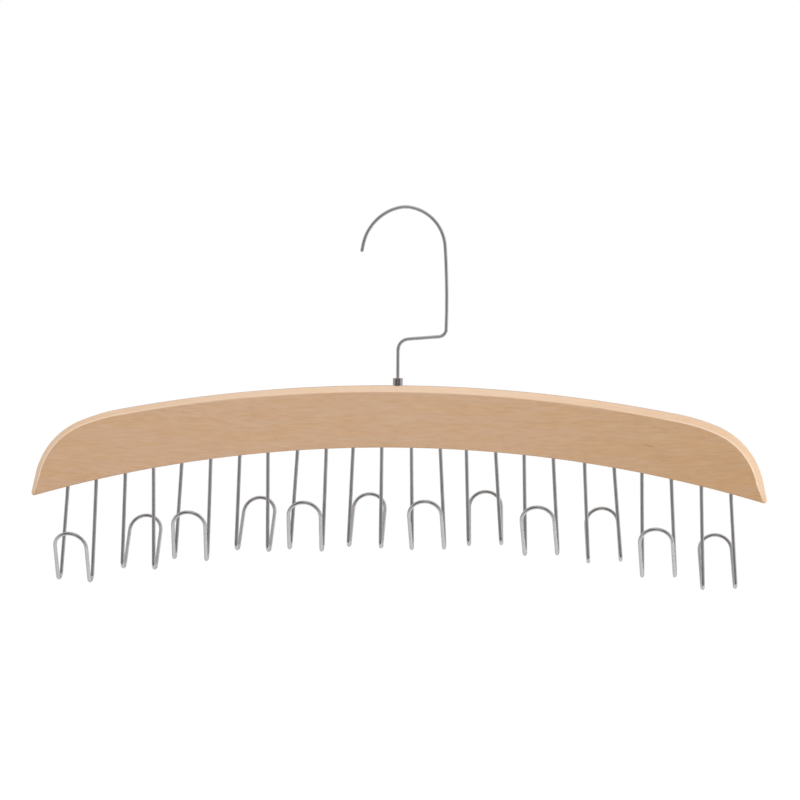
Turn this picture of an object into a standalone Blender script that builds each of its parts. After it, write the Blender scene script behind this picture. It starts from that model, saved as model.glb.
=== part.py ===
"""Wooden hanger with twelve double wire hooks for belts and ties, hung on a swivelling wire hook.

Metres, +Z up, +X along the bar, -Y towards the viewer. The origin is the inside top of the
crook, where the closet rail carries the hanger. Angles are in degrees.
"""
import math

import bmesh
import bpy
from mathutils import Euler, Matrix, Vector

# Wooden bar
BAR_LENGTH = 0.440              # between the tips, before they are rounded
BAR_HEIGHT = 0.0367             # at the middle, from the underside to the top
BAR_THICKNESS = 0.012
TOP_RADIUS = 0.895
SHOULDER_RADIUS = 0.115         # first, easy part of the shoulder
CORNER_RADIUS = 0.0455          # second, tighter part of the shoulder
SHOULDER_SLOPE = 22.6           # where the shoulder meets the corner
SIDE_SLOPE = 78.2               # of the straight side below the corner
UNDERSIDE_RADIUS = 0.780
TIP_RADIUS = 0.0018
EDGE_CHAMFER = 0.0034           # of the front and back edges along the top and the ends
EDGE_CROWN_SHARE = 0.3          # of the chamfer: 0.25 is flat, 0.5 a quarter round
EDGE_END_LENGTH = 0.001         # of square edge between that chamfer and the rounded tip

# Wire of the swivelling hook
HOOK_WIRE = 0.0021              # diameter
CROOK_OPENING = 0.0477          # inside diameter, clears a closet rail
CROOK_TIP_SWEEP = 5.0           # the arc goes on this far past the crook's middle
CROOK_END_LEAN = 4.0            # the leg leaves the crook leaning outwards
LEG_LENGTH = 0.0495
LEG_BOW = 5.7                   # slow turn along the leg
ARM_RISE = 4.8                  # the arm rises from the shank to the leg
ARM_LENGTH = 0.0185
ARM_TO_LEG_RADIUS = 0.0045
SHANK_TO_ARM_RADIUS = 0.0066
SHANK_CLEAR_LENGTH = 0.0168     # straight shank above the ferrule
HEAD_DIAMETER = 0.0038          # upset end of the shank
HEAD_HEIGHT = 0.001
HEAD_SHOULDER = 0.0001          # the wire swells to its head over this length
CROOK_TIP_CHAMFER = 0.0003

# Ferrule and washer of the swivel
FERRULE_DIAMETER = 0.006
FERRULE_HEIGHT = 0.0041         # above the wood
FERRULE_RIBS = 3
FERRULE_GROOVE_DEPTH = 0.0003
FERRULE_GROOVE_WIDTH = 0.0005
SLEEVE_DIAMETER = 0.005         # the part pressed into the wood
SLEEVE_LENGTH = 0.012
SLEEVE_CHAMFER = 0.0004
WASHER_DIAMETER = 0.0044
WASHER_THICKNESS = 0.0006

# Double hooks
HOOK_COUNT = 12
END_TO_HOOK = 0.0305            # from the tips of the bar to the middle of the outermost hooks
BELT_WIRE = 0.0022              # diameter
LEG_SPACING = 0.0173            # between the two legs at the bar
FOOT_SPACING = 0.01935          # between the two U-bends
ARCH_WIDTH = 0.0193
HOOK_DROP = 0.0589              # from the underside of the bar to the middle of the wire in the U-bends
U_BEND_RADIUS = 0.0036
ARCH_REACH = 0.0209             # how far the arch stands off the legs
ARCH_HEIGHT = 0.0297            # of the arch above the U-bends
LEG_DEPTH = 0.015               # of wire inside the bar
OUTWARD_LEAN = 3.2              # of the outermost hooks, the others in proportion

# How each hook was left when it was set by hand: its lean and turn in degrees, its place along
# the bar as a share of the pitch, and how much deeper it was driven as a share of the leg's depth
HAND_LEANS = (-0.4, 1.6, -0.8, 0.3, -2.0, -1.2, 1.6, 1.9, 0.9, 1.8, -0.5, -0.4)
HAND_TURNS = (-6.0, -5.5, -1.0, -8.0, -3.5, -4.5, -3.0, -3.5, -6.5, -1.0, -7.5, 0.5)
PLACE_SHARES = (0.0, 0.005, 0.0, 0.005, 0.015, -0.02, -0.005, -0.055, -0.055, -0.01, -0.02, 0.005)
DRIVEN_SHARES = (0.04, -0.025, 0.01, 0.035, -0.065, -0.075, -0.07, 0.16, 0.045, 0.05, -0.045, -0.03)

# Clearances
GAP = 0.0003                    # between pieces that touch
BORE_END_SPACE = 0.0006         # below the head of the shank
OVERRUN = 0.004                 # of a cutter past the face it cuts
WELD_DISTANCE = 0.000001

# Facets
ROUND_STEPS = 24
WIRE_RESOLUTION = 2
CUTTER_SIDES = 10
TOP_STEPS = 14
SHOULDER_STEPS = 5
CORNER_STEPS = 11
TIP_STEPS = 4
UNDERSIDE_STEPS = 44
EDGE_STEPS = 3
CROOK_STEPS = 26
BEND_STEPS = 7
LEG_STEPS = 5
U_BEND_STEPS = 9
ARCH_STEPS = 8
SLOPE_HALVINGS = 40
COPLANAR_ANGLE = 0.05

WOOD = ("lacquered_wood", (0.60, 0.38, 0.22), 0.42, 0.0)
CHROME = ("chrome_wire", (0.62, 0.61, 0.62), 0.16, 1.0)
BUSH_METAL = ("plated_bush", (0.52, 0.50, 0.50), 0.24, 1.0)
WASHER_METAL = ("plain_steel", (0.42, 0.42, 0.43), 0.38, 1.0)


def clear_scene():
    for obj in list(bpy.data.objects):
        bpy.data.objects.remove(obj, do_unlink=True)


def new_collection(name):
    made = bpy.data.collections.new(name)
    bpy.context.scene.collection.children.link(made)
    return made


def new_material(name, colour, roughness, metallic):
    made = bpy.data.materials.new(name)
    made.use_nodes = True
    shader = made.node_tree.nodes["Principled BSDF"]
    shader.inputs["Base Color"].default_value = (*colour, 1.0)
    shader.inputs["Roughness"].default_value = roughness
    shader.inputs["Metallic"].default_value = metallic
    made.diffuse_color = (*colour, 1.0)
    return made


def place(obj, group, parent, location=(0, 0, 0), rotation=(0, 0, 0)):
    """Keep the object in one collection and set it down relative to its parent."""
    for owner in list(obj.users_collection):
        owner.objects.unlink(obj)
    group.objects.link(obj)
    obj.parent = parent
    obj.location = location
    obj.rotation_euler = rotation
    return obj


def finish(obj, look):
    """Give a sub-part its own material."""
    name, colour, roughness, metallic = look
    obj.data.materials.append(new_material(f"{name}_{obj.name}", colour, roughness, metallic))


def radians(*angles):
    return tuple(math.radians(angle) for angle in angles)


# Bent wire: a path is a list of points and the heading it ends with

def bend(path, heading, radius, turn, steps):
    """Carry a path in the X-Z plane on along an arc; a positive turn goes left. Returns the heading."""
    side = math.copysign(1, turn)
    to_centre = math.radians(heading + 90 * side)
    start = path[-1]
    centre = (start[0] + radius * math.cos(to_centre), start[1] + radius * math.sin(to_centre))
    for step in range(1, steps + 1):
        angle = math.radians(heading + turn * step / steps - 90 * side)
        path.append((centre[0] + radius * math.cos(angle), centre[1] + radius * math.sin(angle)))
    return heading + turn


def run_straight(path, heading, length, steps=1):
    start = path[-1]
    angle = math.radians(heading)
    for step in range(1, steps + 1):
        reach = length * step / steps
        path.append((start[0] + reach * math.cos(angle), start[1] + reach * math.sin(angle)))
    return heading


def new_wire(name, points, diameter, group, parent, location=(0, 0, 0), rotation=(0, 0, 0)):
    """Round wire along points of (x, y, z, share of the wire's thickness)."""
    curve = bpy.data.curves.new(name, "CURVE")
    curve.dimensions = "3D"
    curve.bevel_depth = diameter / 2
    curve.bevel_resolution = WIRE_RESOLUTION
    curve.use_fill_caps = True
    spline = curve.splines.new("POLY")
    spline.points.add(len(points) - 1)
    for target, (x, y, z, share) in zip(spline.points, points):
        target.co = (x, y, z, 1)
        target.radius = share
    spline.use_smooth = True
    return place(bpy.data.objects.new(name, curve), group, parent, location, rotation)


def new_turned(name, profile, group, parent, location=(0, 0, 0)):
    """Ring turned about Z from a closed profile of (radius, height), down the outside first."""
    mesh = bpy.data.meshes.new(name)
    count = len(profile)
    mesh.from_pydata([(radius, 0, height) for radius, height in profile],
                     [(index, (index + 1) % count) for index in range(count)], [])
    obj = place(bpy.data.objects.new(name, mesh), group, parent, location)
    screw = obj.modifiers.new("turn", "SCREW")
    screw.axis = "Z"
    screw.steps = ROUND_STEPS
    screw.render_steps = ROUND_STEPS
    screw.use_merge_vertices = True
    screw.merge_threshold = WELD_DISTANCE
    return obj


# Swivelling hook

def hook_path():
    """Middle of the wire from the crook's tip down to the foot of the clear shank."""
    radius = (CROOK_OPENING + HOOK_WIRE) / 2
    centre_height = -CROOK_OPENING / 2
    start = math.radians(180 + CROOK_TIP_SWEEP)
    path = [(radius * math.cos(start), centre_height + radius * math.sin(start))]
    crook_turn = -(180 + CROOK_TIP_SWEEP - CROOK_END_LEAN)
    heading = bend(path, 90 + CROOK_TIP_SWEEP, radius, crook_turn, CROOK_STEPS)
    heading = bend(path, heading, LEG_LENGTH / math.radians(LEG_BOW), -LEG_BOW, LEG_STEPS)
    arm_heading = -180 + ARM_RISE
    heading = bend(path, heading, ARM_TO_LEG_RADIUS, arm_heading - heading, BEND_STEPS)
    heading = run_straight(path, heading, ARM_LENGTH)
    heading = bend(path, heading, SHANK_TO_ARM_RADIUS, -90 - heading, BEND_STEPS)
    run_straight(path, heading, SHANK_CLEAR_LENGTH)
    return path


def swivel_place():
    """Shank axis in X, and height of the bar's top where it crosses it."""
    x, ferrule_top = hook_path()[-1]
    return x, ferrule_top - GAP - FERRULE_HEIGHT


def head_top():
    """Top of the shank's head below the top of the bar: under the sleeve and the washer."""
    return -(SLEEVE_LENGTH - GAP) - GAP - WASHER_THICKNESS - GAP


def make_swivel_hook(group):
    x, bar_top = swivel_place()
    points = [(px, 0, pz, 1) for px, pz in hook_path()[:-1]]
    tip, after_tip = Vector(points[0][:3]), Vector(points[1][:3])
    inner = tip.lerp(after_tip, CROOK_TIP_CHAMFER / (after_tip - tip).length)
    points[0] = (*tip, 1 - CROOK_TIP_CHAMFER / (HOOK_WIRE / 2))
    points.insert(1, (*inner, 1))
    head = bar_top + head_top()
    swell = HEAD_DIAMETER / HOOK_WIRE
    points += [(x, 0, head, 1), (x, 0, head - HEAD_SHOULDER, swell), (x, 0, head - HEAD_HEIGHT, swell)]
    hook = new_wire("swivel_hook", points, HOOK_WIRE, group, None)
    finish(hook, CHROME)


def make_swivel_washer(group):
    """It turns with the shank, so it belongs to the hook and not to the bar."""
    x, bar_top = swivel_place()
    outer = WASHER_DIAMETER / 2
    inner = HOOK_WIRE / 2 + GAP
    low = head_top() + GAP
    high = low + WASHER_THICKNESS
    profile = [(inner, high), (outer, high), (outer, low), (inner, low)]
    washer = new_turned("swivel_washer", profile, group, None, (x, 0, bar_top))
    finish(washer, WASHER_METAL)


def make_swivel_ferrule(group, axis):
    """Ribbed bush with a sleeve below it; heights are above the top of the bar."""
    outer = FERRULE_DIAMETER / 2
    sleeve = SLEEVE_DIAMETER / 2
    bore = HOOK_WIRE / 2 + GAP
    top = GAP + FERRULE_HEIGHT
    foot = GAP - SLEEVE_LENGTH
    pitch = FERRULE_HEIGHT / FERRULE_RIBS
    half_groove = FERRULE_GROOVE_WIDTH / 2
    groove = outer - FERRULE_GROOVE_DEPTH
    profile = [(bore, top), (groove, top)]
    for rib in range(FERRULE_RIBS):
        high = top - rib * pitch
        low = high - pitch
        profile += [(outer, high - half_groove), (outer, low + half_groove), (groove, low)]
    profile += [(sleeve, GAP), (sleeve, foot + SLEEVE_CHAMFER), (sleeve - SLEEVE_CHAMFER, foot), (bore, foot)]
    ferrule = new_turned("swivel_ferrule", profile, group, axis)
    finish(ferrule, BUSH_METAL)


# Double hooks

def strand_tilt():
    """Angle of the rising strands to the upright, and their length to the top of the arch."""
    across = ARCH_REACH - U_BEND_RADIUS
    up = ARCH_HEIGHT - U_BEND_RADIUS
    length = math.sqrt(across ** 2 + up ** 2 - U_BEND_RADIUS ** 2)
    return math.atan2(across, up) - math.atan2(U_BEND_RADIUS, length), length


def half_double_hook(facing):
    """Points from the top of one leg to the crown of the arch; the underside of the bar is at zero."""
    tilt, strand = strand_tilt()
    bend_height = -(HOOK_DROP - U_BEND_RADIUS)
    foot = FOOT_SPACING / 2
    crown = ARCH_WIDTH / 2
    points = [(leg_x(LEG_DEPTH), 0, LEG_DEPTH), (foot, 0, bend_height)]
    for step in range(1, U_BEND_STEPS + 1):
        angle = (math.pi - tilt) * step / U_BEND_STEPS
        reach = U_BEND_RADIUS * (1 - math.cos(angle))
        points.append((foot, facing * reach, bend_height - U_BEND_RADIUS * math.sin(angle)))
    start = Vector(points[-1])
    along = Vector((0, facing * math.sin(tilt), math.cos(tilt)))
    for step in range(ARCH_STEPS + 1):
        angle = math.pi / 2 * step / ARCH_STEPS
        rise = strand - crown + crown * math.sin(angle)
        point = start + along * rise
        points.append((crown * math.cos(angle), point.y, point.z))
    return points


def leg_x(height):
    """Distance of a leg from the middle of its hook, at a height above the bar's underside."""
    spread = (FOOT_SPACING - LEG_SPACING) / 2
    return LEG_SPACING / 2 - spread * height / (HOOK_DROP - U_BEND_RADIUS)


def by_hand(values, index):
    return values[index % len(values)]


def hook_place(index):
    """Location and rotation of one double hook, measured from the top of the bar at its middle."""
    outermost = BAR_LENGTH / 2 - END_TO_HOOK
    place_share = 2 * index / max(HOOK_COUNT - 1, 1) - 1
    pitch = 2 * outermost / max(HOOK_COUNT - 1, 1)
    x = place_share * outermost + by_hand(PLACE_SHARES, index) * pitch
    lean = OUTWARD_LEAN * place_share + by_hand(HAND_LEANS, index)
    height = underside_height(x) + by_hand(DRIVEN_SHARES, index) * LEG_DEPTH
    return (x, 0, height), radians(0, -lean, by_hand(HAND_TURNS, index))


def make_double_hooks(group, axis):
    for index in range(HOOK_COUNT):
        facing = 1 if index % 2 else -1
        half = half_double_hook(facing)
        other = [(-x, y, z) for x, y, z in reversed(half[:-1])]
        points = [(*point, 1) for point in half + other]
        location, rotation = hook_place(index)
        name = f"belt_hook_{index + 1:02d}"
        hook = new_wire(name, points, BELT_WIRE, group, axis, location, rotation)
        finish(hook, CHROME)


# Wooden bar, drawn in X and Z from the middle of its top

def underside_height(x):
    return math.sqrt(UNDERSIDE_RADIUS ** 2 - x ** 2) - UNDERSIDE_RADIUS - BAR_HEIGHT


def upper_outline(top_slope):
    """From the middle of the top to the end of the corner."""
    path = [(0.0, 0.0)]
    heading = bend(path, 0, TOP_RADIUS, -top_slope, TOP_STEPS)
    heading = bend(path, heading, SHOULDER_RADIUS, -SHOULDER_SLOPE - heading, SHOULDER_STEPS)
    bend(path, heading, CORNER_RADIUS, -SIDE_SLOPE - heading, CORNER_STEPS)
    return path


def sharp_tip(path):
    """Where the straight side, drawn on from the corner, meets the arc of the underside."""
    angle = math.radians(-SIDE_SLOPE)
    start = Vector(path[-1])
    along = Vector((math.cos(angle), math.sin(angle)))
    from_centre = start - Vector((0, -BAR_HEIGHT - UNDERSIDE_RADIUS))
    middle = along.dot(from_centre)
    reach = -middle - math.sqrt(middle ** 2 - from_centre.length_squared + UNDERSIDE_RADIUS ** 2)
    return start + along * reach


def fitted_upper_outline():
    """The slope at the end of the top arc is the one that gives the bar its length."""
    low, high = 0.0, SHOULDER_SLOPE
    for _ in range(SLOPE_HALVINGS):
        slope = (low + high) / 2
        if sharp_tip(upper_outline(slope)).x < BAR_LENGTH / 2:
            low = slope
        else:
            high = slope
    return upper_outline(slope)


def rounded_tip(corner, before, after):
    """Arc in place of a sharp corner between the points before and after it."""
    back = (before - corner).normalized()
    on = (after - corner).normalized()
    half_angle = back.angle(on) / 2
    middle = (back + on).normalized()
    centre = corner + middle * (TIP_RADIUS / math.sin(half_angle))
    reach = TIP_RADIUS / math.tan(half_angle)
    first = corner + back * reach - centre
    last = corner + on * reach - centre
    turn = math.copysign(math.pi - 2 * half_angle, first.cross(last))
    start = math.atan2(first.y, first.x)
    points = []
    for step in range(TIP_STEPS + 1):
        angle = start + turn * step / TIP_STEPS
        points.append((centre.x + TIP_RADIUS * math.cos(angle), centre.y + TIP_RADIUS * math.sin(angle)))
    return points


def bar_outline():
    path = fitted_upper_outline()
    tip = sharp_tip(path)
    corner_end = Vector(path[-1])
    inner_x = tip.x - TIP_RADIUS * 2
    rounding = rounded_tip(tip, corner_end, Vector((inner_x, underside_height(inner_x))))
    side_length = (Vector(rounding[0]) - corner_end).length
    run_straight(path, -SIDE_SLOPE, side_length - EDGE_CHAMFER - EDGE_END_LENGTH)
    path += rounding
    half_steps = max(UNDERSIDE_STEPS // 2, 1)
    last_x = rounding[-1][0]
    for step in range(1, half_steps):
        x = last_x * (1 - step / half_steps)
        path.append((x, underside_height(x)))
    middle = [(0.0, -BAR_HEIGHT)]
    return path + middle + [(-x, z) for x, z in reversed(path[1:])]


def bar_blank(group, axis):
    """The sawn blank: a flat outline with half the thickness to each side, stood upright."""
    curve = bpy.data.curves.new("bar_blank", "CURVE")
    curve.dimensions = "2D"
    curve.fill_mode = "BOTH"
    curve.extrude = BAR_THICKNESS / 2
    outline = bar_outline()
    spline = curve.splines.new("POLY")
    spline.points.add(len(outline) - 1)
    for target, (x, z) in zip(spline.points, outline):
        target.co = (x, z, 0, 1)
    spline.use_cyclic_u = True
    blank = place(bpy.data.objects.new("bar_blank", curve), group, axis, rotation=radians(90, 0, 0))
    bpy.context.view_layer.update()
    mesh = bpy.data.meshes.new_from_object(blank.evaluated_get(bpy.context.evaluated_depsgraph_get()))
    bar = place(bpy.data.objects.new("wooden_bar", mesh), group, axis, rotation=blank.rotation_euler)
    bpy.data.objects.remove(blank, do_unlink=True)
    return bar


def chamfer_end_height():
    """Where the chamfer of the front and back edges stops, on the straight side."""
    return bar_outline()[TOP_STEPS + SHOULDER_STEPS + CORNER_STEPS + 1][1]


def weigh_edges(mesh):
    """Weld the blank, make front and back one polygon each and mark the edges to chamfer."""
    cage = bmesh.new()
    cage.from_mesh(mesh)
    bmesh.ops.remove_doubles(cage, verts=cage.verts, dist=WELD_DISTANCE)
    inside_faces = [edge for edge in cage.edges if edge.verts[0].co.z * edge.verts[1].co.z > 0
                    and edge.calc_face_angle(0) < math.radians(COPLANAR_ANGLE)]
    bmesh.ops.dissolve_edges(cage, edges=inside_faces, use_verts=False)
    weights = cage.edges.layers.float.new("bevel_weight_edge")
    for edge in cage.edges:
        first, second = (vert.co for vert in edge.verts)
        middle = (first + second) / 2
        on_a_face = first.z * second.z > 0
        on_top = middle.y > max(underside_height(middle.x), chamfer_end_height())
        edge[weights] = float(on_a_face and on_top)
    cage.to_mesh(mesh)
    cage.free()


def place_drill(drill, name, cutters, axis, seat):
    place(drill, cutters, axis)
    drill.name = name
    drill.matrix_local = seat
    drill.hide_render = True
    drill.display_type = "WIRE"


def add_leg_cutters(cutters, axis):
    """Drills on the lines of the twenty-four legs."""
    length = LEG_DEPTH + GAP + OVERRUN
    for index in range(HOOK_COUNT):
        location, rotation = hook_place(index)
        hook_seat = Matrix.LocRotScale(Vector(location), Euler(rotation), None)
        for side, label in ((-1, "left"), (1, "right")):
            top = Vector((side * leg_x(LEG_DEPTH + GAP), 0, LEG_DEPTH + GAP))
            below = Vector((side * leg_x(-OVERRUN), 0, -OVERRUN))
            bpy.ops.mesh.primitive_cylinder_add(vertices=CUTTER_SIDES, radius=BELT_WIRE / 2 + GAP,
                                                depth=length)
            along_leg = (top - below).to_track_quat("Z", "Y")
            seat = hook_seat @ Matrix.LocRotScale((top + below) / 2, along_leg, None)
            place_drill(bpy.context.object, f"leg_drill_{index + 1:02d}_{label}", cutters, axis, seat)


def add_swivel_cutter(cutters, axis):
    """Drill for the sleeve, the washer and the head of the shank."""
    depth = HEAD_HEIGHT + BORE_END_SPACE - head_top()
    bpy.ops.mesh.primitive_cylinder_add(vertices=ROUND_STEPS, radius=SLEEVE_DIAMETER / 2 + GAP,
                                        depth=depth + OVERRUN)
    seat = Matrix.Translation((0, 0, (OVERRUN - depth) / 2))
    place_drill(bpy.context.object, "swivel_drill", cutters, axis, seat)


def make_wooden_bar(group, cutters, axis):
    bar = bar_blank(group, axis)
    weigh_edges(bar.data)
    chamfer = bar.modifiers.new("edge_chamfer", "BEVEL")
    chamfer.limit_method = "WEIGHT"
    chamfer.width = EDGE_CHAMFER
    chamfer.segments = EDGE_STEPS
    chamfer.profile = EDGE_CROWN_SHARE
    chamfer.use_clamp_overlap = False
    add_leg_cutters(cutters, axis)
    add_swivel_cutter(cutters, axis)
    drilling = bar.modifiers.new("drilling", "BOOLEAN")
    drilling.operation = "DIFFERENCE"
    drilling.operand_type = "COLLECTION"
    drilling.collection = cutters
    drilling.solver = "EXACT"
    finish(bar, WOOD)


def main():
    clear_scene()
    hanger = new_collection("multi_hook_hanger")
    cutters = new_collection("cutters")
    x, bar_top = swivel_place()
    axis = bpy.data.objects.new("swivel_axis", None)
    place(axis, hanger, None, (x, 0, bar_top))
    make_swivel_hook(hanger)
    make_swivel_washer(hanger)
    make_swivel_ferrule(hanger, axis)
    make_wooden_bar(hanger, cutters, axis)
    make_double_hooks(hanger, axis)


main()
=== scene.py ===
"""Looks of the wooden hanger with twelve double wire hooks for belts and ties.

Metres and degrees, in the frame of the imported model: +Z up, +X along the bar, -Y towards the viewer,
the origin under the crown of the crook. The wires are drawn again, rounder, along the middle lines
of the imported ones; the bar and the turned pieces of the swivel are made again, finer, at their place.
"""
import math

import bmesh
import bpy
from mathutils import Matrix, Vector


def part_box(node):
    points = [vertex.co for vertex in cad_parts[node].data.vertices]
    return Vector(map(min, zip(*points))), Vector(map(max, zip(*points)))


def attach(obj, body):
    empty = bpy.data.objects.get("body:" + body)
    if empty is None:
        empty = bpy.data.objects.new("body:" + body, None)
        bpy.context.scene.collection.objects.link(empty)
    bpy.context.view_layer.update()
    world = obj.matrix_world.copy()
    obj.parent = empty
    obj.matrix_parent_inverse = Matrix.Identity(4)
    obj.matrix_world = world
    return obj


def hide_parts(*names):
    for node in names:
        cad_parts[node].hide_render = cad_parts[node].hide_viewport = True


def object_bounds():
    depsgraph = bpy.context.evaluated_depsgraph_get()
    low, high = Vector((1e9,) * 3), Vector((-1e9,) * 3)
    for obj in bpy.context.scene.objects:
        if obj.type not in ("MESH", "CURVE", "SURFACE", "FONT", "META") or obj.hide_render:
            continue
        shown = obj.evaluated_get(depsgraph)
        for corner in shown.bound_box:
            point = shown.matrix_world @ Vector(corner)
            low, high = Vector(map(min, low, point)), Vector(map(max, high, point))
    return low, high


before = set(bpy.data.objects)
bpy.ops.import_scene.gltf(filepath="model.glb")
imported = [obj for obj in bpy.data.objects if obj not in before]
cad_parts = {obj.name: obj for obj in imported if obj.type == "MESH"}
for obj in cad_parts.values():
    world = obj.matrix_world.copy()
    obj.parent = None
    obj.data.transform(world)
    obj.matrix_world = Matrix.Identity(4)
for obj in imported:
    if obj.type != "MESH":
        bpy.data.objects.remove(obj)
solid_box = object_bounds()

# Camera, where the photograph was taken from
CAMERA_TARGET = (-0.0014, 0.0, -0.1139)
CAMERA_DISTANCE = 1.3981
CAMERA_YAW = 2.5164             # to the right of square on
CAMERA_ELEVATION = 3.4673
CAMERA_ROLL = 0.3807
CAMERA_LENS = 105.5
SENSOR_WIDTH = 36.0

# Wires
WIRE_SIDES = 28                 # of its round section
BEND_POINTS = 4                 # that round off each corner of a packed wire's line
LARGEST_BEND = 1.0              # more than fits, so that each bend is as wide as its neighbours allow
TIP_RINGS = 6                   # over the round end of the crook
CROOK_FLATTENING = 0.0016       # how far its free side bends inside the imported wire's round
SHARP_ANGLE = 35.0              # between faces, at the cut ends of a wire and the rims of the bush
WELD_DISTANCE = 0.000002
CUT_FLATNESS = 0.00001          # how far a point of a wire's cut end may stand off its plane
SAME_FACING = 0.999             # cosine above which two faces lie in one plane

# Bar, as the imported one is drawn
BAR_LENGTH = 0.440
BAR_HEIGHT = 0.0367
BAR_THICKNESS = 0.012
TOP_RADIUS = 0.895
SHOULDER_RADIUS = 0.115
CORNER_RADIUS = 0.0455
SHOULDER_SLOPE = 22.6
SIDE_SLOPE = 78.2
UNDERSIDE_RADIUS = 0.780
TIP_RADIUS = 0.0018

# Edges of the bar
CHAMFER = 0.0035                # along the face, at the middle of the top; it runs on down the ends
CHAMFER_GROWTH = 0.21           # share by which it is wider at the right end and narrower at the left
CHAMFER_CROWN = 0.00002         # how far its middle stands out of a flat one
END_TAPER = 0.42                # share of its size that it loses down the straight side
EASING = 0.00012                # at both sides of it
SAWN_EDGE = 0.00035             # easing of the underside's edges
LINE_WIDTH = 0.00045            # of the painted highlight line along the chamfer's inner edge
LINE_ENDS = (0.12, 0.19)        # distance from the middle where the painted highlight line starts and is plainest

# Share of pale colour in the chamfer and its line: sanded wood with painted sheen on the chamfer, a
# painted highlight on the line
CHAMFER_SANDING_AND_SHEEN = (0.28, 0.4, 0.24)    # at the left end, the middle and the right end; the sheen in it is painted
LINE_HIGHLIGHT = 0.9                     # painted highlight, where the line is plainest

# Holes in the bar
LEG_CLEARANCE = 0.00006         # round each leg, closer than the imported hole
DRILL_START = 0.02              # below the middle of the underside
DRILL_SIDES = 32
SWIVEL_HOLE_RADIUS = 0.0026
SWIVEL_HOLE_DEPTH = 0.0022      # below the washer, for the head of the shank
SWIVEL_DRILL_START = 0.004      # above the top

# Short dark fleck in the grain of the front, right of the middle
FLECK_PLACE = (0.1468, -0.006, -0.1394)
FLECK_SIZE = (0.0052, 0.002, 0.0009)
FLECK_TILT = 8.0
FLECK_TINT = (0.84, 0.79, 0.72)

# Colours of the beech, as (tone, colour) from its darkest to its palest fibres, and what tints them
BEECH_TONES = [(0.0, (0.500, 0.285, 0.145)), (0.5, (0.600, 0.376, 0.225)), (1.0, (0.670, 0.445, 0.290))]
WARM_TINT = (1.0, 0.965, 0.86)          # in streaks
RIGHT_END_SHADE = (0.985, 0.95, 0.835)       # painted shade, darker and warmer towards the right end
# Pale colour laid on the chamfer and its line: sanded wood, painted sheen and a painted highlight
SANDED_BEECH_AND_HIGHLIGHT = (0.87, 0.68, 0.51)
GRAIN_SWING = 0.009             # how far the grain wanders up and down

# Metals, dull and bright
CHROME = (0.48, 0.47, 0.48), (0.64, 0.63, 0.64)
BUSH_PLATE = (0.34, 0.31, 0.31), (0.46, 0.42, 0.42)
BUSH_ROUGHNESS = 0.16
STEEL = (0.36, 0.36, 0.37), (0.46, 0.46, 0.47)
STEEL_ROUGHNESS = 0.37
MARK_DEPTH = 0.00002            # of the grain, the draw marks and the turning marks

# Steps along the bar's outline and across its edge
TOP_STEPS = 60
SHOULDER_STEPS = 20
CORNER_STEPS = 48
SIDE_STEPS = 16
TIP_STEPS = 14
UNDERSIDE_STEPS = 180
CHAMFER_STEPS = 6
SLOPE_HALVINGS = 40             # in the search for the slope that fits the bar's length
SMOOTH_ANGLE = 11.0             # faces of the bar that meet at less are shaded as one

# Bush and washer of the swivel
RING_SIDES = 96
RIB_COUNT = 3
GROOVE_DEPTH = 0.0003
GROOVE_WIDTH = 0.0004
ROUNDING_STEPS = 10             # across a rib, a lip or an edge
LIP = 0.00025                   # rounding of the bush's top edge
SLEEVE_CHAMFER = 0.0003
SHANK_RADIUS = 0.00105
GAP = 0.0003                    # round the shank in its bore and beyond the legs in their holes
HEIGHT_DECIMALS = 5             # of the heights that are compared

# Room
FLOOR_DROP = 0.42               # below the lowest U-bend
FLOOR_SIZE = 9.0
FLOOR_FRONT = 0.3               # how far the floor comes forward of the bar
FLOOR_GREY = (0.7, 0.7, 0.7)
FLOOR_ROUGHNESS = 0.9
WHITE = (1.0, 1.0, 1.0)
FLOOR_WHITE = 1.05              # strength of the white that covers the floor's own colour
WHITE_IN_VIEW = 0.9             # share of that white as the camera sees the floor
WHITE_IN_METAL = 0.1            # and as the metal mirrors it

# Light of the room by its direction, as pairs: from -1, in front, to 1, behind, and its strength there
ROOM_LIGHT = ((-1.0, 0.7), (-0.985, 0.6), (-0.955, 0.16), (-0.65, 0.22), (-0.35, 1.0), (0.0, 1.25),
              (0.5, 1.15), (0.9, 0.5), (1.0, 0.4))
CEILING_LIGHT = 0.88
CEILING_BAND = (0.45, 0.9)      # how steeply up the ceiling starts and is full
FLOOR_LIGHT = 0.6               # beyond the floor's near edge
FLOOR_BAND = (0.45, 0.85)       # how steeply down it starts and is full
LEFT_SHADE = 0.25               # share of the room's light that is missing on the left
LEFT_BAND = (0.1, 0.7)          # how far to the left that starts and is full

# Lamps: name, place, what they are aimed at, width and depth, watts, whether the metal mirrors them
LAMPS = (("front_fill", (-0.3, -1.2, 0.3), (0, 0, -0.14), (1.4, 1.0), 11.1, False),
         ("back_fill", (0.0, 1.7, 0.35), (0, 0, -0.14), (1.4, 1.0), 9.0, False),
         ("right_fill", (1.5, 0.0, 0.1), (0.1, 0, -0.14), (1.0, 1.0), 10.8, False),
         ("overhead_softbox", (0.5, -0.2, 0.95), (0.5, -0.2, -0.12), (1.2, 0.9), 1.8, False),
         ("overhead_tube", (0.2, -0.05, 0.95), (0.2, 0.0, -0.12), (1.2, 0.04), 0.2, True))


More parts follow.
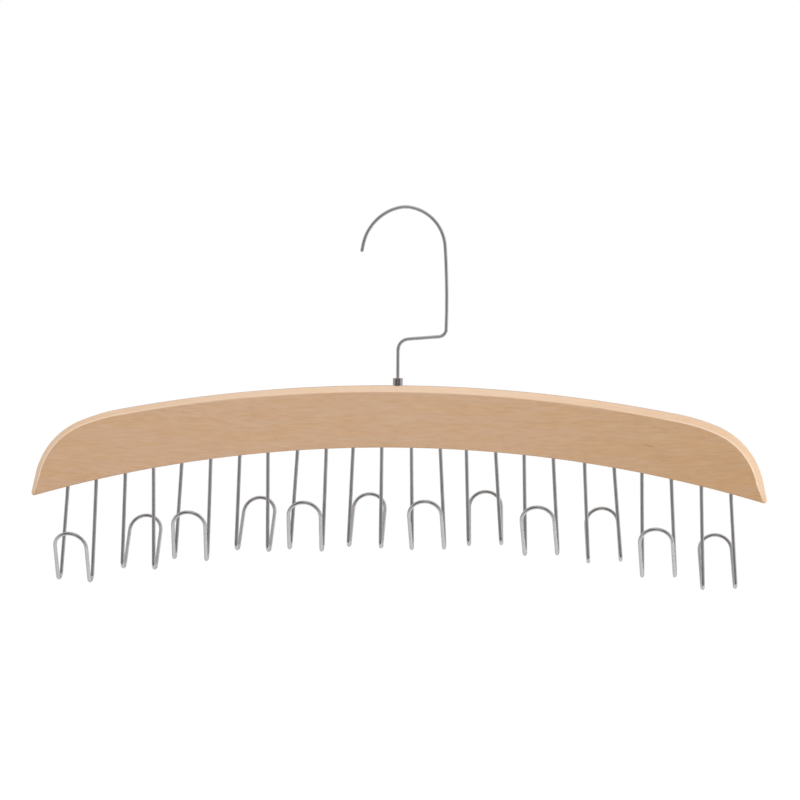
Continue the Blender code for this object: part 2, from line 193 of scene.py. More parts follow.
class Link:
    """Output of a shader node. A sum written with links adds Math nodes to their tree."""

    def __init__(self, look, socket):
        self.look = look
        self.socket = socket

    def math(self, operation, *values):
        return self.look.node("ShaderNodeMath", {"operation": operation}, dict(enumerate(values)))

    def __add__(self, other):
        return self.math("ADD", self, other)

    def __sub__(self, other):
        return self.math("SUBTRACT", self, other)

    def __rsub__(self, other):
        return self.math("SUBTRACT", other, self)

    def __mul__(self, other):
        return self.math("MULTIPLY", self, other)

    __radd__ = __add__
    __rmul__ = __mul__

    def clamped(self):
        return self.look.node("ShaderNodeClamp", {}, {"Value": self})

    def other(self, output):
        """Another output of the node that this one comes from."""
        return Link(self.look, self.socket.node.outputs[output])


class Shading:
    """Shader nodes of a material or a world, added by one method."""

    def __init__(self, owner):
        owner.use_nodes = True
        self.tree = owner.node_tree

    def feed(self, node, key, value):
        """Link a value to a socket, found by its place, identifier or name, or set it there."""
        sockets = node.inputs
        if isinstance(key, int):
            target = sockets[key]
        else:
            target = next((each for each in sockets if each.identifier == key), None) or \
                next(each for each in sockets if each.name.lower() == key.lower())
        if isinstance(value, Link):
            self.tree.links.new(value.socket, target)
        elif target.type == "RGBA" and len(value) == 3:
            target.default_value = (*value, 1.0)
        else:
            target.default_value = value

    def node(self, kind, settings, sockets, output=0):
        """Add a node: its settings first, a ramp's stops among them, and then its sockets."""
        made = self.tree.nodes.new(kind)
        for name, value in settings.items():
            if name == "stops":
                stops = made.color_ramp.elements
                while len(stops) < len(value):
                    stops.new(1.0)
                for stop, (place, colour) in zip(stops, value):
                    stop.position = place
                    stop.color = (*colour, 1.0)
            else:
                setattr(made, name, value)
        for key, value in sockets.items():
            self.feed(made, key, value)
        return Link(self, made.outputs[output])

    def noise(self, place, scale, detail=2.0, roughness=0.5):
        """Noise; a scale of three numbers is one for each axis."""
        if isinstance(scale, tuple):
            place, scale = self.scaled(place, scale), 1.0
        return self.node("ShaderNodeTexNoise", {}, {"Vector": place, "Scale": scale, "Detail": detail,
                                                    "Roughness": roughness})

    def scaled(self, triple, factors):
        """A place or a colour with each of its three parts multiplied by its own factor."""
        return self.node("ShaderNodeVectorMath", {"operation": "MULTIPLY"}, {0: triple, 1: factors})

    def shifted(self, place, shift):
        return self.node("ShaderNodeVectorMath", {"operation": "ADD"}, {0: place, 1: shift})

    def band(self, value, low, high):
        """0 below low, 1 above high and smooth between."""
        return self.node("ShaderNodeMapRange", {"interpolation_type": "SMOOTHSTEP"},
                         {"Value": value, "From Min": low, "From Max": high})

    def blend(self, share, first, second):
        """Mix of two colours; the node's third result is the colour."""
        return self.node("ShaderNodeMix", {"data_type": "RGBA"},
                         {"Factor_Float": share, "A_Color": first, "B_Color": second}, output=2)

    def tinted(self, share, colour, tint):
        """The colour with a share of the tint laid over it."""
        return self.blend(share, colour, self.scaled(colour, tint))

    def stored(self, name):
        """Number that the mesh holds under this name."""
        return self.node("ShaderNodeAttribute", {"attribute_name": name}, {}, output="Fac")

    def bump(self, height, strength):
        return self.node("ShaderNodeBump", {}, {"Height": height, "Distance": MARK_DEPTH,
                                                "Strength": strength})


class Look(Shading):
    """A material that ends in its Principled BSDF."""

    def __init__(self, name, **constants):
        self.material = bpy.data.materials.new(name)
        super().__init__(self.material)
        self.surface = self.tree.nodes["Principled BSDF"]
        self.shader = Link(self, self.surface.outputs["BSDF"])
        self.wear(**constants)

    def wear(self, **sockets):
        """Set the finish by the names of its sockets."""
        for socket, value in sockets.items():
            self.feed(self.surface, socket.replace("_", " ").title(), value)
        return self.material


def lacquered_beech():
    """Plain-sawn beech under a satin lacquer; the grain runs along the bar."""
    look = Look("lacquered_beech", coat_weight=1.0, coat_roughness=0.2)
    place = look.node("ShaderNodeTexCoord", {}, {}, output="Object")
    drift = look.noise(place, (9.0, 40.0, 40.0))
    swing = look.node("ShaderNodeCombineXYZ", {}, {"Z": (drift - 0.5) * GRAIN_SWING})
    swung = look.shifted(place, swing)
    fibre = look.noise(swung, (150.0, 1500.0, 1500.0), detail=3.0, roughness=0.6)
    streak = look.noise(swung, (75.0, 820.0, 820.0))
    figure = look.noise(swung, (9.0, 110.0, 110.0))
    cloud = look.noise(place, (18.0, 45.0, 45.0))
    warmth = look.noise(swung, (24.0, 260.0, 260.0), detail=3.0, roughness=0.6)
    ray = look.band(look.noise(place, (260.0, 2100.0, 2100.0), detail=1.0), 0.64, 0.74)
    tone = (0.5 + (fibre - 0.5) * 0.75 + (streak - 0.5) * 0.75 + (figure - 0.5) * 0.14
            + (cloud - 0.5) * 0.12 - ray * 0.1).clamped()
    wood = look.node("ShaderNodeValToRGB", {"stops": BEECH_TONES}, {"Fac": tone})
    wood = look.tinted(look.band(warmth, 0.36, 0.68), wood, WARM_TINT)
    along = look.node("ShaderNodeSeparateXYZ", {}, {"Vector": place})
    # Painted shade: darker and warmer towards the right end
    wood = look.tinted(look.band(along, -0.02, 0.26), wood, RIGHT_END_SHADE)
    near = look.node("ShaderNodeMapping", {"vector_type": "TEXTURE"},
                     {"Vector": place, "Location": FLECK_PLACE, "Scale": FLECK_SIZE,
                      "Rotation": (0, math.radians(FLECK_TILT), 0)})
    away = look.node("ShaderNodeVectorMath", {"operation": "LENGTH"}, {0: near}, output="Value")
    fleck = (1 - look.band(away, 0.2, 1.0)) * (0.5 + streak * 0.9)
    wood = look.tinted(fleck.clamped(), wood, FLECK_TINT)
    # Chamfer paler as sanded wood with painted sheen, and its inner line as a painted highlight
    wood = look.blend(look.stored("sanded"), wood, SANDED_BEECH_AND_HIGHLIGHT)
    return look.wear(base_color=wood, roughness=0.46 - fibre * 0.06 + ray * 0.06,
                     normal=look.bump(fibre * 0.6 - ray * 0.4, 0.3))


def bright_wire():
    """Chrome plate over drawn wire, with faint draw marks along it."""
    look = Look("chrome_wire", metallic=1.0)
    along = look.stored("along")
    around = look.stored("around")
    place = look.node("ShaderNodeTexCoord", {}, {}, output="Object")
    lane = look.node("ShaderNodeCombineXYZ", {}, {"X": along * 60.0, "Y": around * 22.0})
    marks = look.noise(lane, 1.0, detail=3.0)
    dull = look.noise(place, 420.0, detail=3.0)
    return look.wear(base_color=look.blend(dull, *CHROME), roughness=0.05 + marks * 0.05 + dull * 0.04,
                     normal=look.bump(marks + dull, 0.35))


def turned_metal(name, colours, roughness):
    """Plated metal with turning marks round the shank's axis."""
    look = Look(name, metallic=1.0)
    place = look.node("ShaderNodeTexCoord", {}, {}, output="Object")
    rings = look.noise(place, (300.0, 300.0, 9000.0))
    dull = look.noise(place, 900.0, detail=3.0)
    return look.wear(base_color=look.blend(dull, *colours), roughness=roughness + rings * 0.05,
                     normal=look.bump(rings + dull, 0.15))


def welded(node):
    """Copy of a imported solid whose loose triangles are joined."""
    cage = bmesh.new()
    cage.from_mesh(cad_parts[node].data)
    bmesh.ops.remove_doubles(cage, verts=cage.verts, dist=WELD_DISTANCE)
    return cage


def wire_line(node, upwards):
    """Middle line of a packed wire as (point, radius), ring by ring from its highest or lowest end."""
    cage = welded(node)
    end = max(cage.verts, key=lambda vert: vert.co.z * upwards)
    cut = max(end.link_faces, key=lambda face: abs(face.normal.z)).normal
    size = max(face.calc_perimeter() for face in end.link_faces
               if abs(face.normal.dot(cut)) > SAME_FACING)
    ring = [vert for vert in cage.verts if abs((vert.co - end.co).dot(cut)) < CUT_FLATNESS
            and (vert.co - end.co).length < size]
    seen = set(ring)
    line = []
    while ring:
        middle = sum((vert.co for vert in ring), Vector()) / len(ring)
        line.append((middle, (ring[0].co - middle).length))
        ring = [edge.other_vert(vert) for vert in ring for edge in vert.link_edges]
        ring = [vert for vert in dict.fromkeys(ring) if vert not in seen]
        seen.update(ring)
    cage.free()
    return line


class Tree:
    """Geometry nodes that take one piece's geometry and named sizes."""

    def __init__(self, name, sizes):
        self.tree = bpy.data.node_groups.new(name, "GeometryNodeTree")
        self.keys = {}
        self.tree.interface.new_socket("Geometry", in_out="INPUT", socket_type="NodeSocketGeometry")
        for label, kind in sizes:
            made = self.tree.interface.new_socket(label, in_out="INPUT", socket_type=kind)
            self.keys[label] = made.identifier
        self.tree.interface.new_socket("Geometry", in_out="OUTPUT", socket_type="NodeSocketGeometry")
        self.inputs = self.tree.nodes.new("NodeGroupInput").outputs

    def node(self, kind, settings, sockets, output=0):
        """Add a node with its settings; sockets are set, or linked when given another's output."""
        made = self.tree.nodes.new(kind)
        for name, value in settings.items():
            setattr(made, name, value)
        for key, value in sockets.items():
            target = made.inputs[key]
            if isinstance(value, bpy.types.NodeSocket):
                self.tree.links.new(value, target)
            else:
                target.default_value = value
        return made.outputs[output]

    def merged(self, geometry):
        return self.node("GeometryNodeMergeByDistance", {},
                         {"Geometry": geometry, "Distance": WELD_DISTANCE})

    def with_number(self, geometry, name, value):
        """The geometry with a number at each of its points, under this name."""
        return self.node("GeometryNodeStoreNamedAttribute", {"data_type": "FLOAT", "domain": "POINT"},
                         {"Geometry": geometry, "Name": name, "Value": value})

    def close(self, geometry, material):
        """End in Realize Instances and Set Material."""
        real = self.node("GeometryNodeRealizeInstances", {}, {"Geometry": geometry})
        dressed = self.node("GeometryNodeSetMaterial", {}, {"Geometry": real, "Material": material})
        outlet = self.tree.nodes.new("NodeGroupOutput")
        self.tree.links.new(dressed, outlet.inputs[0])
        return self


def drawn_wire_tree():
    """Rounds the corners of a line, then runs a round section of the wire's own thickness along it.

    Bends that touch leave doubled points, which merge while the line is a mesh for a moment.
    """
    tree = Tree("drawn_wire", [("Bend radius", "NodeSocketFloat"), ("Bend points", "NodeSocketInt"),
                               ("Sides", "NodeSocketInt"), ("Finish", "NodeSocketMaterial")])
    line = tree.node("GeometryNodeMeshToCurve", {}, {"Mesh": tree.inputs["Geometry"]})
    rounded = tree.node("GeometryNodeFilletCurve", {"mode": "POLY"},
                        {"Curve": line, "Count": tree.inputs["Bend points"],
                         "Radius": tree.inputs["Bend radius"], "Limit Radius": True})
    edges = tree.node("GeometryNodeCurveToMesh", {}, {"Curve": rounded})
    smooth = tree.node("GeometryNodeMeshToCurve", {}, {"Mesh": tree.merged(edges)})
    length = tree.node("GeometryNodeSplineParameter", {}, {}, output="Length")
    marked = tree.with_number(smooth, "along", length)
    half = tree.node("GeometryNodeInputNamedAttribute", {"data_type": "FLOAT"}, {"Name": "half"})
    circle = tree.node("GeometryNodeCurvePrimitiveCircle", {},
                       {"Resolution": tree.inputs["Sides"], "Radius": 1.0})
    turn = tree.node("GeometryNodeSplineParameter", {}, {}, output="Factor")
    section = tree.with_number(circle, "around", turn)
    wire = tree.node("GeometryNodeCurveToMesh", {},
                     {"Curve": marked, "Profile Curve": section, "Scale": half, "Fill Caps": True})
    return tree.close(tree.merged(wire), tree.inputs["Finish"])


def made_mesh(obj):
    """The object as its modifiers leave it, as a plain mesh; the object itself goes."""
    bpy.context.view_layer.update()
    graph = bpy.context.evaluated_depsgraph_get()
    mesh = bpy.data.meshes.new_from_object(obj.evaluated_get(graph), depsgraph=graph)
    bpy.data.objects.remove(obj, do_unlink=True)
    return mesh


def new_object(name, mesh):
    obj = bpy.data.objects.new(name, mesh)
    bpy.context.scene.collection.objects.link(obj)
    return obj


def facing_out(mesh):
    cage = bmesh.new()
    cage.from_mesh(mesh)
    bmesh.ops.recalc_face_normals(cage, faces=cage.faces)
    cage.to_mesh(mesh)
    cage.free()


def finished(name, mesh, body, node, sharp_angle):
    """Shade the piece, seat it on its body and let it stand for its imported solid."""
    mesh.shade_smooth()
    mesh.set_sharp_from_angle(angle=math.radians(sharp_angle))
    piece = new_object(name, mesh)
    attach(piece, body)
    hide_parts(node)


def with_hand_bent_crook(line):
    """Bend the free side of the crook, from its crown to its tip, a little flatter than round."""
    crown = max(range(len(line)), key=lambda at: line[at][0].z)
    side = line[crown:]
    middle = Vector((side[0][0].x, 0, side[-1][0].z))
    bent = []
    for at, (point, radius) in enumerate(side):
        inwards = (middle - point).normalized()
        reach = CROOK_FLATTENING * math.sin(math.pi * at / (len(side) - 1))
        bent.append((point + inwards * reach, radius))
    return line[:crown] + bent


def with_round_tip(line):
    """Close the wire's last stretch over its cut end, as if ground round."""
    tip = line[-1][0]
    full = line[-3][1]
    back = (line[-3][0] - tip).normalized()
    cap = []
    for step in range(TIP_RINGS):
        angle = math.pi / 2 * (TIP_RINGS - step) / TIP_RINGS
        cap.append((tip + back * full * (1 - math.cos(angle)), full * math.sin(angle)))
    return line[:-2] + cap


def draw_wire(tree, line, node, name, body, finish):
    mesh = bpy.data.meshes.new(f"{name}_line")
    mesh.from_pydata([point for point, _ in line], [(at, at + 1) for at in range(len(line) - 1)], [])
    half = mesh.attributes.new("half", "FLOAT", "POINT")
    half.data.foreach_set("value", [radius for _, radius in line])
    guide = new_object(f"{name}_line", mesh)
    modifier = guide.modifiers.new("wire", "NODES")
    modifier.node_group = tree.tree
    modifier[tree.keys["Bend radius"]] = LARGEST_BEND
    modifier[tree.keys["Bend points"]] = BEND_POINTS
    modifier[tree.keys["Sides"]] = WIRE_SIDES
    modifier[tree.keys["Finish"]] = finish
    wire = made_mesh(guide)
    facing_out(wire)
    finished(name, wire, body, node, SHARP_ANGLE)


def turned(profile, centre):
    """Closed profile of (radius, height) turned about an upright axis."""
    cage = bmesh.new()
    rings = []
    for step in range(RING_SIDES):
        angle = 2 * math.pi * step / RING_SIDES
        spoke = Vector((math.cos(angle), math.sin(angle), 0))
        rings.append([cage.verts.new(centre + spoke * radius + Vector((0, 0, height)))
                      for radius, height in profile])
    for step, ring in enumerate(rings):
        following = rings[(step + 1) % RING_SIDES]
        for at in range(len(profile)):
            after = (at + 1) % len(profile)
            cage.faces.new((ring[at], ring[after], following[after], following[at]))
    mesh = bpy.data.meshes.new("turned")
    bmesh.ops.recalc_face_normals(cage, faces=cage.faces)
    cage.to_mesh(mesh)
    cage.free()
    return mesh


def arc_points(centre, radius, start, end, steps):
    """Points from one angle to the other, both ends among them."""
    return [(centre[0] + radius * math.cos(math.radians(start + (end - start) * step / steps)),
             centre[1] + radius * math.sin(math.radians(start + (end - start) * step / steps)))
            for step in range(steps + 1)]


def axis_and_radius(low, high):
    """Of an upright round piece, from the corners of its box."""
    return Vector(((low.x + high.x) / 2, (low.y + high.y) / 2, 0)), (high.x - low.x) / 2


def turn_bush(finish):
    """Ribbed bush on the bar with its sleeve in the wood."""
    low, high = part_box("swivel_ferrule")
    centre, outer = axis_and_radius(low, high)
    bore = SHANK_RADIUS + GAP
    packed = [(round(vert.co.z, HEIGHT_DECIMALS), (vert.co - centre).to_2d().length)
              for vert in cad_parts["swivel_ferrule"].data.vertices]
    lowest_rib = min(height for height, radius in packed if radius > outer - GROOVE_DEPTH / 2)
    foot = lowest_rib - GROOVE_WIDTH / 2
    sleeve = max(radius for height, radius in packed if height < foot - GROOVE_WIDTH)
    pitch = (high.z - foot) / RIB_COUNT
    profile = [(bore, high.z)]
    profile += arc_points((outer - GROOVE_DEPTH - LIP, high.z - LIP), LIP, 90, 0, ROUNDING_STEPS)
    for rib in range(RIB_COUNT):
        middle = high.z - (rib + 0.5) * pitch
        half_rib = (pitch - GROOVE_WIDTH / 2) / 2
        for step in range(ROUNDING_STEPS + 1):
            share = 2 * step / ROUNDING_STEPS - 1
            swell = math.sqrt(max(1 - share ** 4, 0))
            profile.append((outer - GROOVE_DEPTH + GROOVE_DEPTH * swell, middle - share * half_rib))
    profile += [(outer - GROOVE_DEPTH, foot), (sleeve, foot), (sleeve, low.z + SLEEVE_CHAMFER),
                (sleeve - SLEEVE_CHAMFER, low.z), (bore, low.z)]
    mesh = turned(profile, centre)
    mesh.materials.append(finish)
    finished("swivel_bush", mesh, "hanger", "swivel_ferrule", SHARP_ANGLE)


def turn_washer(finish):
    """Its edges are rounded by a quarter of its thickness."""
    low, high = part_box("swivel_washer")
    centre, outer = axis_and_radius(low, high)
    edge = (high.z - low.z) / 4
    bore = SHANK_RADIUS + GAP
    profile = [(bore, high.z)] + arc_points((outer - edge, high.z - edge), edge, 90, 0, ROUNDING_STEPS)
    profile += arc_points((outer - edge, low.z + edge), edge, 0, -90, ROUNDING_STEPS) + [(bore, low.z)]
    mesh = turned(profile, centre)
    mesh.materials.append(finish)
    finished("bearing_washer", mesh, "hook", "swivel_washer", SHARP_ANGLE)


def bend(path, heading, radius, turn, steps):
    """Carry an outline on along an arc; a positive turn goes left. Returns the heading after it."""
    side = math.copysign(1, turn)
    to_centre = math.radians(heading + 90 * side)
    start = path[-1]
    centre = (start[0] + radius * math.cos(to_centre), start[1] + radius * math.sin(to_centre))
    path += arc_points(centre, radius, heading - 90 * side, heading + turn - 90 * side, steps)[1:]
    return heading + turn


def underside_height(x):
    return math.sqrt(UNDERSIDE_RADIUS ** 2 - x ** 2) - UNDERSIDE_RADIUS - BAR_HEIGHT


def upper_outline(top_slope):
    """From the middle of the top to the end of the corner."""
    path = [(0.0, 0.0)]
    heading = bend(path, 0, TOP_RADIUS, -top_slope, TOP_STEPS)
    heading = bend(path, heading, SHOULDER_RADIUS, -SHOULDER_SLOPE - heading, SHOULDER_STEPS)
    bend(path, heading, CORNER_RADIUS, -SIDE_SLOPE - heading, CORNER_STEPS)
    return path


def sharp_tip(path):
    """Where the straight side, drawn on from the corner, meets the arc of the underside."""
    angle = math.radians(-SIDE_SLOPE)
    start = Vector(path[-1])
    along = Vector((math.cos(angle), math.sin(angle)))
    from_centre = start - Vector((0, -BAR_HEIGHT - UNDERSIDE_RADIUS))
    middle = along.dot(from_centre)
    reach = -middle - math.sqrt(middle ** 2 - from_centre.length_squared + UNDERSIDE_RADIUS ** 2)
    return start + along * reach


def fitted_upper_outline():
    """The slope at the end of the top arc is the one that gives the bar its length."""
    low, high = 0.0, SHOULDER_SLOPE
    for _ in range(SLOPE_HALVINGS):
        slope = (low + high) / 2
        if sharp_tip(upper_outline(slope)).x < BAR_LENGTH / 2:
            low = slope
        else:
            high = slope
    return upper_outline(slope)


def rounded_tip(corner, before, after):
    """Arc in place of a sharp corner between the points before and after it."""
    back = (before - corner).normalized()
    on = (after - corner).normalized()
    half_angle = back.angle(on) / 2
    centre = corner + (back + on).normalized() * (TIP_RADIUS / math.sin(half_angle))
    reach = TIP_RADIUS / math.tan(half_angle)
    first = corner + back * reach - centre
    last = corner + on * reach - centre
    turn = math.copysign(math.pi - 2 * half_angle, first.cross(last))
    start = math.atan2(first.y, first.x)
    return arc_points(centre, TIP_RADIUS, math.degrees(start), math.degrees(start + turn), TIP_STEPS)


def half_outline():
    """Right half of the bar from the middle of the top round to the middle of the underside.

    Each point comes with the share of the full chamfer that its edges have there.
    """
    path = fitted_upper_outline()
    tip = sharp_tip(path)
    corner_end = Vector(path[-1])
    inner_x = tip.x - TIP_RADIUS * 2
    rounding = rounded_tip(tip, corner_end, Vector((inner_x, underside_height(inner_x))))
    side = Vector(rounding[0]) - corner_end
    points = [(*point, 1.0) for point in path]
    for step in range(1, SIDE_STEPS):
        share = step / SIDE_STEPS
        place = corner_end + side * share
        points.append((*place, 1 - END_TAPER * share))
    for step, point in enumerate(rounding):
        points.append((*point, (1 - END_TAPER) * (1 - step / TIP_STEPS)))
    for step in range(1, UNDERSIDE_STEPS // 2):
        x = rounding[-1][0] * (1 - step / (UNDERSIDE_STEPS // 2))
        points.append((x, underside_height(x), 0.0))
    return points


def chamfer_size(x, share):
    """From the easing of a sawn edge, at a share of 0, to the full chamfer at this place."""
    return SAWN_EDGE + (CHAMFER * (1 + CHAMFER_GROWTH * x / (BAR_LENGTH / 2)) - SAWN_EDGE) * share


# Share of pale colour on the chamfer: sanded wood and painted sheen, graded from end to end
def chamfer_sheen_and_sanding(x):
    left, middle, right = CHAMFER_SANDING_AND_SHEEN
    end = right if x > 0 else left
    return middle + (end - middle) * abs(x) / (BAR_LENGTH / 2)


def line_highlight_at(x):
    """Painted highlight along the line where the chamfer meets the face, plainest towards the ends of
    the bar.
    """
    start, full = LINE_ENDS
    plain = chamfer_sheen_and_sanding(x)
    return plain + (LINE_HIGHLIGHT - plain) * min(max((abs(x) - start) / (full - start), 0), 1)


def edge_section(size, chamfer_pale_share, line_highlight_share):
    """Front half of the edge's section as (inset, distance from the face, share of pale colour: sanding
    with painted sheen, or the painted highlight of the line).
    """
    crown = CHAMFER_CROWN * size / CHAMFER
    eased = min(EASING, size / 3)
    section = [(size + eased + LINE_WIDTH, 0.0, 0.0), (size + eased, 0.0, line_highlight_share)]
    for step in range(CHAMFER_STEPS + 1):
        share = step / CHAMFER_STEPS
        swell = crown * 4 * share * (1 - share) / math.sqrt(2)
        section.append((size * (1 - share) * (1 - eased / size) + eased / 2 - swell,
                        size * share * (1 - eased / size) + eased / 2 - swell,
                        line_highlight_share if step == 0 else chamfer_pale_share))
    section.append((0.0, size + eased, 0.0))
    return section


def inner_line(outline, widths):
    """Inner ends of the edge's sections; those round a tip, which would cross, meet in one point."""
    count = len(outline)
    inner = []
    for at, width in enumerate(widths):
        along = Vector(outline[(at + 1) % count][:2]) - Vector(outline[at - 1][:2])
        inner.append(Vector(outline[at][:2]) + Vector((along.y, -along.x)).normalized() * width)
    side_end = TOP_STEPS + SHOULDER_STEPS + CORNER_STEPS + SIDE_STEPS
    for step in range(1, TIP_STEPS + 1):
        inner[side_end + step] = inner[side_end]
        inner[-side_end - step] = inner[-side_end]
    return inner


def shape_bar():
    """Outline carried across the chamfered edge, front and back closed by one face each."""
    half = half_outline()
    outline = half + [(0.0, -BAR_HEIGHT, 0.0)] + [(-x, z, share) for x, z, share in reversed(half[1:])]
    count = len(outline)
    cage = bmesh.new()
    # Share of pale colour at each point: sanded wood, painted sheen and the painted highlight line
    sanding_and_highlight = cage.verts.layers.float.new("sanded")
    rows = []
    sections = [edge_section(chamfer_size(x, share), chamfer_sheen_and_sanding(x) * share,
                             line_highlight_at(x) * share) for x, _, share in outline]
    widths = [section[0][0] for section in sections]
    for (x, z, _), section, width, inner in zip(outline, sections, widths, inner_line(outline, widths)):
        row = []
        for side, half_section in ((-1, section), (1, reversed(section))):
            for inset, depth, sanded in half_section:
                place = Vector((x, z)).lerp(inner, inset / width)
                row.append(cage.verts.new((place.x, side * (BAR_THICKNESS / 2 - depth), place.y)))
                row[-1][sanding_and_highlight] = sanded
        rows.append(row)
    for at, row in enumerate(rows):
        following = rows[(at + 1) % count]
        for step in range(len(row) - 1):
            cage.faces.new((row[step], row[step + 1], following[step + 1], following[step]))
    for end in (0, -1):
        cage.faces.new([row[end] for at, row in enumerate(rows) if row[end].co != rows[at - 1][end].co])
    bmesh.ops.remove_doubles(cage, verts=cage.verts, dist=WELD_DISTANCE)
    bmesh.ops.recalc_face_normals(cage, faces=cage.faces)
    mesh = bpy.data.meshes.new("bar_blank")
    cage.to_mesh(mesh)
    cage.free()
    return mesh


def drill(name, start, end, radius):
    """Round cutter between two points."""
    bpy.ops.mesh.primitive_cylinder_add(vertices=DRILL_SIDES, radius=radius, depth=(end - start).length)
    cutter = bpy.context.object
    cutter.name = name
    facing = (end - start).to_track_quat("Z", "Y")
    cutter.matrix_world = Matrix.LocRotScale((start + end) / 2, facing, None)
    return cutter


def saw_bar(finish, belt_lines):
    """The bar at its place, drilled for the legs and the swivel."""
    low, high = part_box("wooden_bar")
    bush_low, bush_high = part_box("swivel_ferrule")
    washer_low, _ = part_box("swivel_washer")
    mesh = shape_bar()
    mesh.transform(Matrix.Translation(((low.x + high.x) / 2, 0, high.z)))
    mesh.materials.append(finish)
    bar = new_object("bar_blank", mesh)
    cutters = []
    entry_height = high.z - BAR_HEIGHT - DRILL_START
    for line in belt_lines:
        for (top, radius), (foot, _) in ((line[0], line[1]), (line[-1], line[-2])):
            along = (top - foot).normalized()
            entry = foot.lerp(top, (entry_height - foot.z) / (top.z - foot.z))
            cutters.append(drill("leg_drill", entry, top + along * GAP, radius + LEG_CLEARANCE))
    middle = (bush_low.x + bush_high.x) / 2
    cutters.append(drill("swivel_drill", Vector((middle, 0, washer_low.z - SWIVEL_HOLE_DEPTH)),
                         Vector((middle, 0, high.z + SWIVEL_DRILL_START)), SWIVEL_HOLE_RADIUS))
    group = bpy.data.collections.new("drills")
    for cutter in cutters:
        group.objects.link(cutter)
    cut = bar.modifiers.new("drilling", "BOOLEAN")
    cut.operation = "DIFFERENCE"
    cut.operand_type = "COLLECTION"
    cut.collection = group
    cut.solver = "EXACT"
    sawn = made_mesh(bar)
    for cutter in cutters:
        bpy.data.objects.remove(cutter, do_unlink=True)
    finished("beech_bar", sawn, "hanger", "wooden_bar", SMOOTH_ANGLE)


def set_camera():
    yaw = math.radians(CAMERA_YAW)
    elevation = math.radians(CAMERA_ELEVATION)
    roll = math.radians(CAMERA_ROLL)
    back = Vector((math.sin(yaw) * math.cos(elevation), -math.cos(yaw) * math.cos(elevation),
                   math.sin(elevation)))
    level = Vector((math.cos(yaw), math.sin(yaw), 0))
    upright = back.cross(level)
    right = level * math.cos(roll) + upright * math.sin(roll)
    up = upright * math.cos(roll) - level * math.sin(roll)
    place = Vector(CAMERA_TARGET) + back * CAMERA_DISTANCE
    data = bpy.data.cameras.new("camera")
    data.lens = CAMERA_LENS
    data.sensor_width = SENSOR_WIDTH
    camera = bpy.data.objects.new("camera", data)
    bpy.context.scene.collection.objects.link(camera)
    camera.matrix_world = Matrix((
        (right.x, up.x, back.x, place.x), (right.y, up.y, back.y, place.y),
        (right.z, up.z, back.z, place.z), (0, 0, 0, 1)))
    bpy.context.scene.camera = camera


def set_lamp(name, place, target, size, watts, in_metal):
    """Soft lamp; most of them light the wood without showing in the metal."""
    data = bpy.data.lights.new(name, "AREA")
    data.shape = "RECTANGLE"
    data.size, data.size_y = size
    data.energy = watts
    lamp = bpy.data.objects.new(name, data)
    lamp.visible_glossy = in_metal
    bpy.context.scene.collection.objects.link(lamp)
    facing = (Vector(place) - Vector(target)).to_track_quat("Z", "Y")
    lamp.matrix_world = Matrix.LocRotScale(Vector(place), facing, None)


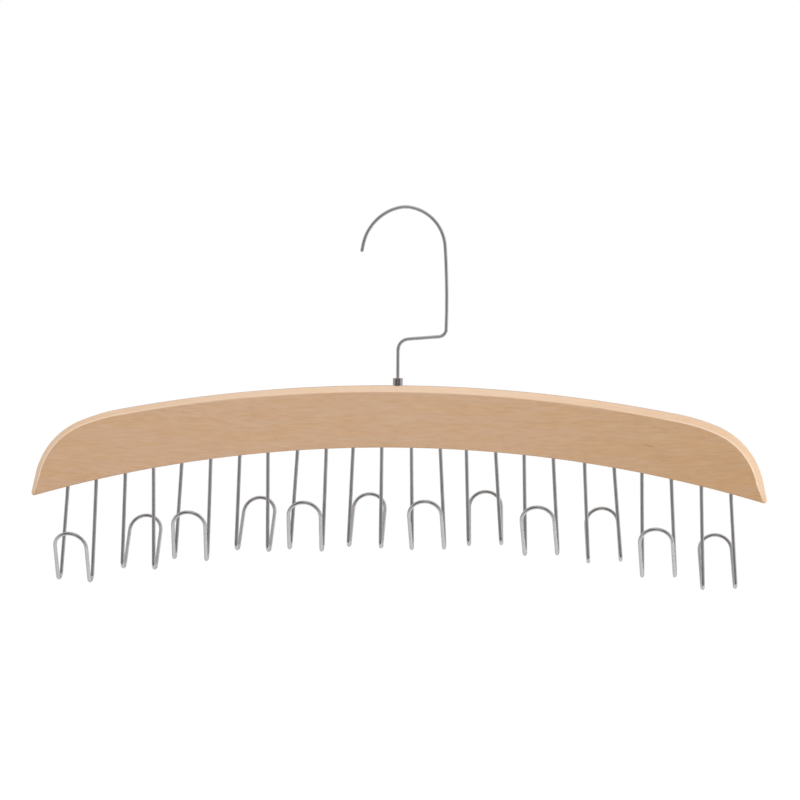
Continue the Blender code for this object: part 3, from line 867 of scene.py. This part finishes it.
def lay_floor():
    """Pale floor, nearly white to the camera and darker in the metal."""
    low, _ = solid_box
    middle = FLOOR_SIZE / 2 - FLOOR_FRONT
    bpy.ops.mesh.primitive_plane_add(size=FLOOR_SIZE, location=(0, middle, low.z - FLOOR_DROP))
    floor = bpy.context.object
    floor.name = "floor"
    look = Look("pale_floor", base_color=FLOOR_GREY, roughness=FLOOR_ROUGHNESS)
    seen = look.node("ShaderNodeLightPath", {}, {}, output="Is Camera Ray")
    share = seen * WHITE_IN_VIEW + seen.other("Is Glossy Ray") * WHITE_IN_METAL
    white = look.node("ShaderNodeEmission", {}, {"Color": WHITE, "Strength": FLOOR_WHITE})
    mixed = look.node("ShaderNodeMixShader", {}, {"Fac": share, 1: look.shader, 2: white})
    look.feed(look.tree.nodes["Material Output"], "Surface", mixed)
    floor.data.materials.append(look.material)


def light_room():
    """White to the camera; as light, a pale room that is dimmer in front and on the left."""
    world = bpy.data.worlds.new("studio")
    bpy.context.scene.world = world
    studio = Shading(world)
    direction = studio.node("ShaderNodeTexCoord", {}, {})
    right = studio.node("ShaderNodeSeparateXYZ", {}, {"Vector": direction}, output="X")
    behind = right.other("Y")
    up = right.other("Z")
    brightest = max(light for _, light in ROOM_LIGHT)
    stops = [((place + 1) / 2, (light / brightest,) * 3) for place, light in ROOM_LIGHT]
    room = studio.node("ShaderNodeValToRGB", {"stops": stops}, {"Fac": behind * 0.5 + 0.5}) * brightest
    room = room + studio.band(up, *CEILING_BAND) * (CEILING_LIGHT - room)
    room = room + studio.band(0 - up, *FLOOR_BAND) * (FLOOR_LIGHT - room)
    room = room * (1 - studio.band(0 - right, *LEFT_BAND) * LEFT_SHADE)
    seen = studio.node("ShaderNodeLightPath", {}, {}, output="Is Camera Ray")
    background = studio.tree.nodes["Background"]
    studio.feed(background, "Color", WHITE)
    studio.feed(background, "Strength", room + seen * (1 - room))


def main():
    set_camera()
    lay_floor()
    light_room()
    for lamp in LAMPS:
        set_lamp(*lamp)
    beech = lacquered_beech()
    chrome = bright_wire()
    bush = turned_metal("plated_bush", BUSH_PLATE, BUSH_ROUGHNESS)
    steel = turned_metal("plain_steel", STEEL, STEEL_ROUGHNESS)
    tree = drawn_wire_tree()
    belt_nodes = [node for node in sorted(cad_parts) if node.startswith("belt_hook_")]
    belt_lines = {node: wire_line(node, 1) for node in belt_nodes}
    hook_line = with_round_tip(with_hand_bent_crook(wire_line("swivel_hook", -1)))
    draw_wire(tree, hook_line, "swivel_hook", "closet_hook_wire", "hook", chrome)
    for node in belt_nodes:
        name = node.replace("belt_hook", "double_hook")
        draw_wire(tree, belt_lines[node], node, name, "hanger", chrome)
    turn_bush(bush)
    turn_washer(steel)
    saw_bar(beech, belt_lines.values())


main()
bpy.context.scene.view_settings.view_transform = "Standard"
